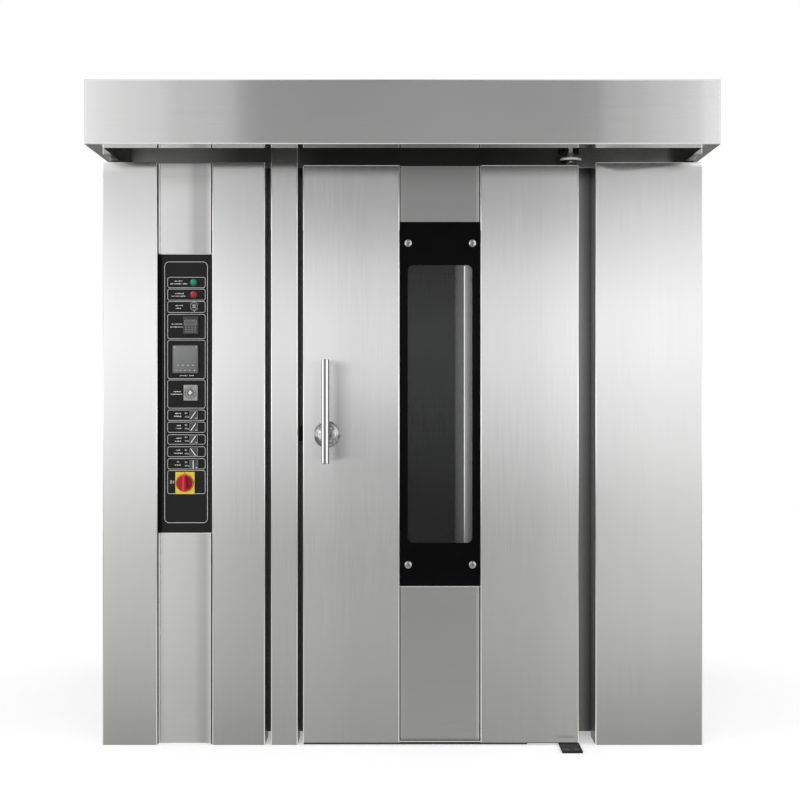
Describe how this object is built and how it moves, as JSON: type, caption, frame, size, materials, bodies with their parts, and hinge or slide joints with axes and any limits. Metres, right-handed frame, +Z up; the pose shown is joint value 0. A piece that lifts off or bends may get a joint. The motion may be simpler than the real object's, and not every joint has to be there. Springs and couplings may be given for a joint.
{
  "type": "rotating rack oven",
  "caption": "Floor-standing rack oven with hinged windowed door, lever handle, steam hood, side control panel, rotating ceiling hook and circulating fan.",
  "frame": {"origin": "middle of the bounding box's footprint, on the floor", "axes": "+Z up, the door and the control panel face -Y, +X to the right seen from the front"},
  "size_m": [2, 1.594, 2.24],
  "materials": {
    "base_frame": "satin",
    "chamber_floor": "satin",
    "door_frame": "satin",
    "diffuser_wall": "satin",
    "chamber_walls": "satin",
    "chamber_ceiling": "satin",
    "insulation_batts": "matte",
    "side_panel_left": "satin",
    "side_panel_right": "satin",
    "rear_panel": "satin",
    "roof_panel": "satin",
    "control_cover": "satin",
    "control_infill": "satin",
    "control_panel": "matte",
    "door_post": "satin",
    "right_cover": "satin",
    "canopy_shell": "satin",
    "canopy_fascia": "satin",
    "hood_fan_casing": "satin",
    "hood_impeller": "satin",
    "steam_vent": "satin",
    "damper_flap": "satin",
    "electrical_tray": "satin",
    "heater_elements": "matte",
    "steam_generator": "matte",
    "fan_motor": "satin",
    "fan_impeller": "satin",
    "rotor_bearing": "satin",
    "gear_motor": "satin",
    "rotor_shaft": "satin",
    "rack_hook": "satin",
    "panel_instruments": "satin",
    "steam_timer_knob": "satin",
    "switch_bezels": "satin",
    "green_button": "gloss",
    "red_button": "gloss",
    "selector_a": "satin",
    "selector_b": "satin",
    "selector_c": "satin",
    "selector_d": "satin",
    "selector_e": "satin",
    "main_switch_plate": "satin",
    "main_switch_knob": "satin",
    "hinge_pin_top": "satin",
    "hinge_bracket": "satin",
    "keeper_spring": "satin",
    "door_skin": "satin",
    "door_infill": "satin",
    "door_liner": "satin",
    "door_insulation": "matte",
    "window_outer_glass": "gloss",
    "window_inner_glass": "gloss",
    "window_caps": "satin",
    "window_lamp": "satin",
    "door_gasket": "matte",
    "door_sweep": "matte",
    "hinge_cups": "satin",
    "handle_rosette": "satin",
    "handle_bar": "satin",
    "latch_spindle": "satin"
  },
  "bodies": {
    "carcass": {"base_frame": "base_frame", "chamber_floor": "chamber_floor", "door_frame": "door_frame", "diffuser_wall": "diffuser_wall", "chamber_walls": "chamber_walls", "chamber_ceiling": "chamber_ceiling", "insulation_batts": "insulation_batts", "side_panel_left": "side_panel_left", "side_panel_right": "side_panel_right", "rear_panel": "rear_panel", "roof_panel": "roof_panel", "control_cover": "control_cover", "control_infill": "control_infill", "control_panel": "control_panel", "door_post": "door_post", "right_cover": "right_cover", "canopy_shell": "canopy_shell", "canopy_fascia": "canopy_fascia", "hood_fan_casing": "hood_fan_casing", "steam_vent": "steam_vent", "electrical_tray": "electrical_tray", "heater_elements": "heater_elements", "steam_generator": "steam_generator", "fan_motor": "fan_motor", "rotor_bearing": "rotor_bearing", "gear_motor": "gear_motor", "panel_instruments": "panel_instruments", "switch_bezels": "switch_bezels", "main_switch_plate": "main_switch_plate", "hinge_pin_top": "hinge_pin_top", "hinge_bracket": "hinge_bracket", "keeper_spring": "keeper_spring"},
    "door": {"door_skin": "door_skin", "door_infill": "door_infill", "door_liner": "door_liner", "door_insulation": "door_insulation", "window_outer_glass": "window_outer_glass", "window_inner_glass": "window_inner_glass", "window_caps": "window_caps", "window_lamp": "window_lamp", "door_gasket": "door_gasket", "door_sweep": "door_sweep", "hinge_cups": "hinge_cups", "handle_rosette": "handle_rosette"},
    "handle": {"handle_bar": "handle_bar", "latch_spindle": "latch_spindle"},
    "rotor": {"rotor_shaft": "rotor_shaft", "rack_hook": "rack_hook"},
    "circulation_fan": {"fan_impeller": "fan_impeller"},
    "hood_fan": {"hood_impeller": "hood_impeller"},
    "vent_damper": {"damper_flap": "damper_flap"},
    "start_button": {"green_button": "green_button"},
    "stop_button": {"red_button": "red_button"},
    "steam_timer": {"steam_timer_knob": "steam_timer_knob"},
    "switch_a": {"selector_a": "selector_a"},
    "switch_b": {"selector_b": "selector_b"},
    "switch_c": {"selector_c": "selector_c"},
    "switch_d": {"selector_d": "selector_d"},
    "switch_e": {"selector_e": "selector_e"},
    "main_switch": {"main_switch_knob": "main_switch_knob"}
  },
  "joints": [
    {"name": "door_hinge", "type": "hinge", "parent": "carcass", "child": "door", "pos_m": [0.566, -0.509, 1], "axis": [0, 0, 1], "range_deg": [0, 110], "deforming": ["keeper_spring"]},
    {"name": "handle_turn", "type": "hinge", "parent": "door", "child": "handle", "pos_m": [-0.251, -0.513, 1.035], "axis": [0, 1, 0], "range_deg": [0, 90]},
    {"name": "rotor_spin", "type": "hinge", "parent": "carcass", "child": "rotor", "pos_m": [0.115, 0.157, 1.8], "axis": [0, 0, 1], "continuous": true},
    {"name": "circulation_fan_spin", "type": "hinge", "parent": "carcass", "child": "circulation_fan", "pos_m": [-0.655, 0.272, 1.7], "axis": [0, 0, 1], "continuous": true},
    {"name": "hood_fan_spin", "type": "hinge", "parent": "carcass", "child": "hood_fan", "pos_m": [-0.5, -0.303, 2.15], "axis": [0, 0, 1], "continuous": true},
    {"name": "damper_turn", "type": "hinge", "parent": "carcass", "child": "vent_damper", "pos_m": [0.44, 0.527, 2.045], "axis": [1, 0, 0], "range_deg": [0, 90]},
    {"name": "start_press", "type": "slide", "parent": "carcass", "child": "start_button", "axis": [0, 1, 0], "range_m": [0, 0.0035], "stiffness_N_per_m": 700, "springref_m": -0.002},
    {"name": "stop_press", "type": "slide", "parent": "carcass", "child": "stop_button", "axis": [0, 1, 0], "range_m": [0, 0.0035], "stiffness_N_per_m": 700, "springref_m": -0.002},
    {"name": "steam_timer_turn", "type": "hinge", "parent": "carcass", "child": "steam_timer", "pos_m": [-0.7095, -0.538, 1.1742], "axis": [0, 1, 0], "range_deg": [0, 270]},
    {"name": "switch_a_turn", "type": "hinge", "parent": "carcass", "child": "switch_a", "pos_m": [-0.6994, -0.538, 1.099], "axis": [0, 1, 0], "range_deg": [-70, 0]},
    {"name": "switch_b_turn", "type": "hinge", "parent": "carcass", "child": "switch_b", "pos_m": [-0.6994, -0.538, 1.0594], "axis": [0, 1, 0], "range_deg": [-70, 0]},
    {"name": "switch_c_turn", "type": "hinge", "parent": "carcass", "child": "switch_c", "pos_m": [-0.6994, -0.538, 1.0181], "axis": [0, 1, 0], "range_deg": [-70, 0]},
    {"name": "switch_d_turn", "type": "hinge", "parent": "carcass", "child": "switch_d", "pos_m": [-0.6994, -0.538, 0.9755], "axis": [0, 1, 0], "range_deg": [0, 70]},
    {"name": "switch_e_turn", "type": "hinge", "parent": "carcass", "child": "switch_e", "pos_m": [-0.6994, -0.538, 0.9346], "axis": [0, 1, 0], "range_deg": [-45, 45]},
    {"name": "main_switch_turn", "type": "hinge", "parent": "carcass", "child": "main_switch", "pos_m": [-0.729, -0.538, 0.8715], "axis": [0, 1, 0], "range_deg": [-90, 0]}
  ]
}
